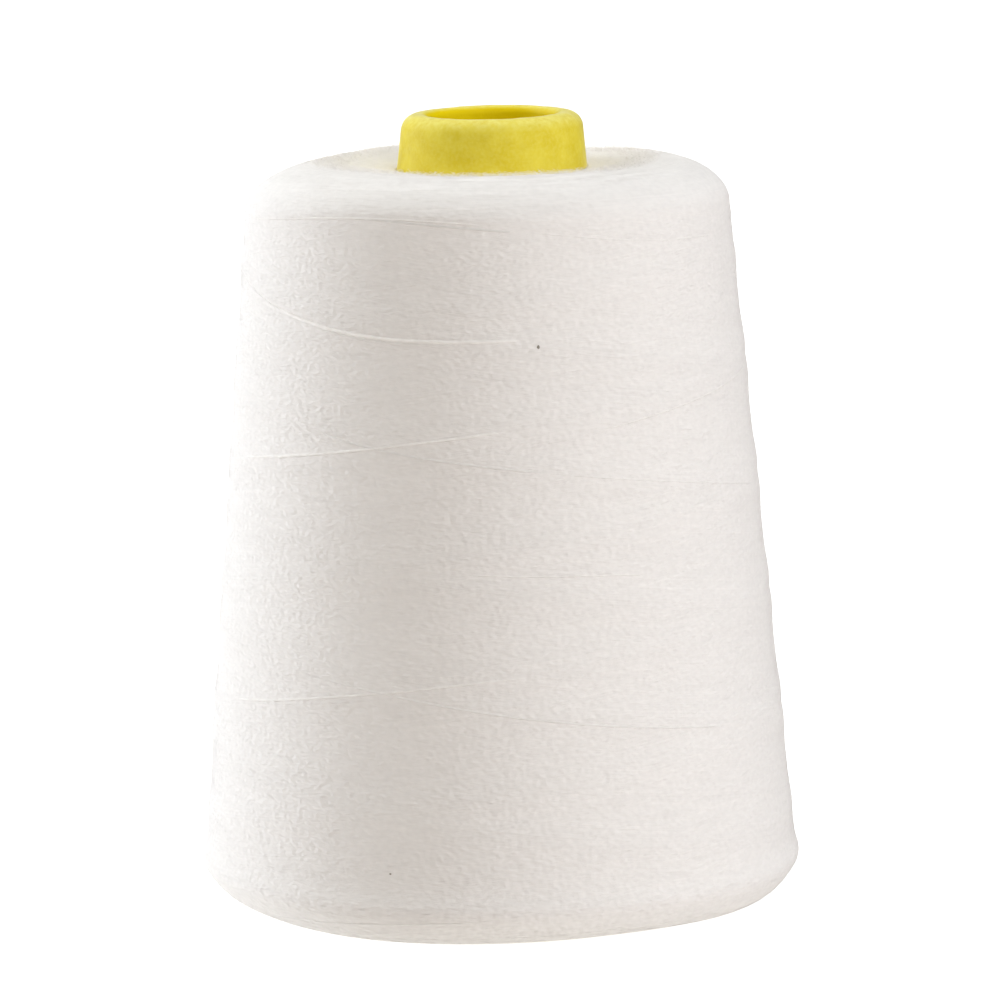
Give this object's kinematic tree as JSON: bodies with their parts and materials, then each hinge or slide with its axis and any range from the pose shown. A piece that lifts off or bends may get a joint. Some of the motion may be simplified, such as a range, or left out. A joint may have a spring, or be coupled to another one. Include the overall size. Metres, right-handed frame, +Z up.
{
  "type": "cone of thread",
  "caption": "Tapered package of cross-wound sewing thread on a hollow moulded cone tube whose rounded nose stands out at the top.",
  "frame": {"origin": "on the tube's axis, at the surface that its base ring stands on", "axes": "+Z up along the tube's axis towards its nose, -Y the side that faces the viewer in the picture"},
  "size_m": [0.1258, 0.1258, 0.17],
  "materials": {
    "tube_plastic": "matte moulded yellow, slightly mottled",
    "spun_thread": "off-white spun thread, cross-wound"
  },
  "bodies": {
    "root": {"cone_tube": "tube_plastic", "wound_thread": "spun_thread"}
  },
  "joints": []
}
